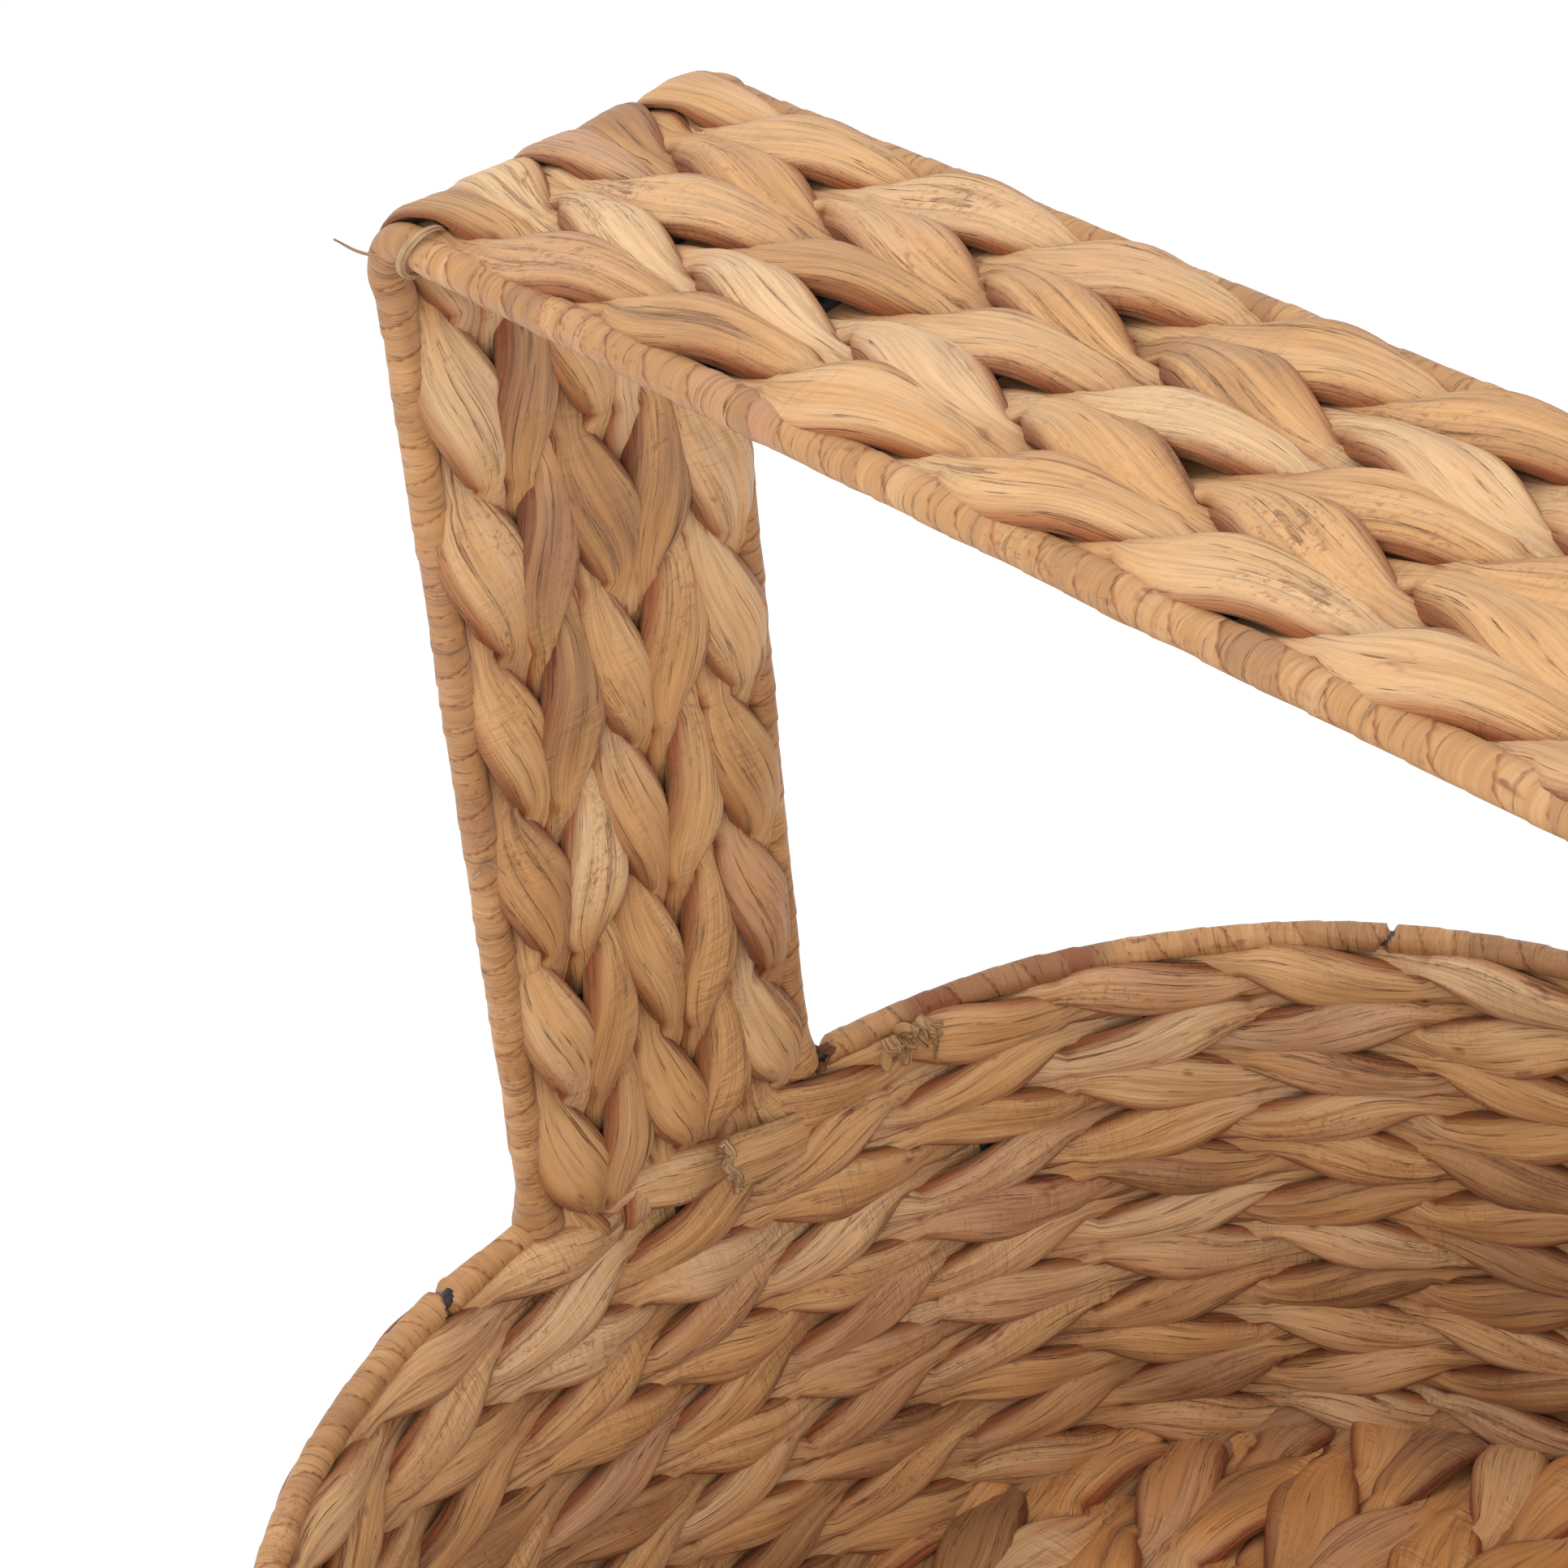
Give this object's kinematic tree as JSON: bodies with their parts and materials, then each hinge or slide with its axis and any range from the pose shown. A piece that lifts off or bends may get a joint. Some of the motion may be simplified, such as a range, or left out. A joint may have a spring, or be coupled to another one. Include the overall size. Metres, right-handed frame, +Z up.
{
  "type": "basket",
  "caption": "Round basket twined from water hyacinth stems on a welded wire frame, with a broad flat woven strap handle fixed across the top.",
  "frame": {"origin": "middle of the basket's footprint, on the surface it stands on", "axes": "+Z up, X along the handle's bar, Y across the handle"},
  "size_m": [0.339, 0.3452, 0.3704],
  "materials": {
    "weave": "dried water hyacinth stems, satin, creased along the grain",
    "binding": "thin dried stem strips wound round the wire, satin",
    "wire": "black painted steel wire"
  },
  "bodies": {
    "root": {"base_binding": "binding", "base_wire": "wire", "floor_row_01": "weave", "floor_row_02": "weave", "floor_row_03": "weave", "floor_row_04": "weave", "floor_row_05": "weave", "floor_row_06": "weave", "floor_row_07": "weave", "floor_row_08": "weave", "floor_row_09": "weave", "floor_row_10": "weave", "floor_row_11": "weave", "floor_row_12": "weave", "floor_row_13": "weave", "floor_row_14": "weave", "floor_row_15": "weave", "floor_row_16": "weave", "floor_row_17": "weave", "floor_row_18": "weave", "floor_row_19": "weave", "floor_wire_1": "wire", "floor_wire_2": "wire", "floor_wire_3": "wire", "floor_wire_4": "wire", "floor_wire_5": "wire", "floor_wire_6": "wire", "floor_wire_7": "wire", "handle_binding_back": "binding", "handle_binding_front": "binding", "handle_rungs": "wire", "handle_wire_back": "wire", "handle_wire_front": "wire", "rim_binding": "binding", "rim_wire": "wire", "strap_row_1": "weave", "strap_row_2": "weave", "strap_row_3": "weave", "strap_row_4": "weave", "strap_row_5": "weave", "wall_course_01": "weave", "wall_course_02": "weave", "wall_course_03": "weave", "wall_course_04": "weave", "wall_course_05": "weave", "wall_course_06": "weave", "wall_course_07": "weave", "wall_course_08": "weave", "wall_course_09": "weave", "wall_course_10": "weave", "wall_course_11": "weave", "wall_stakes": "wire"}
  },
  "joints": []
}
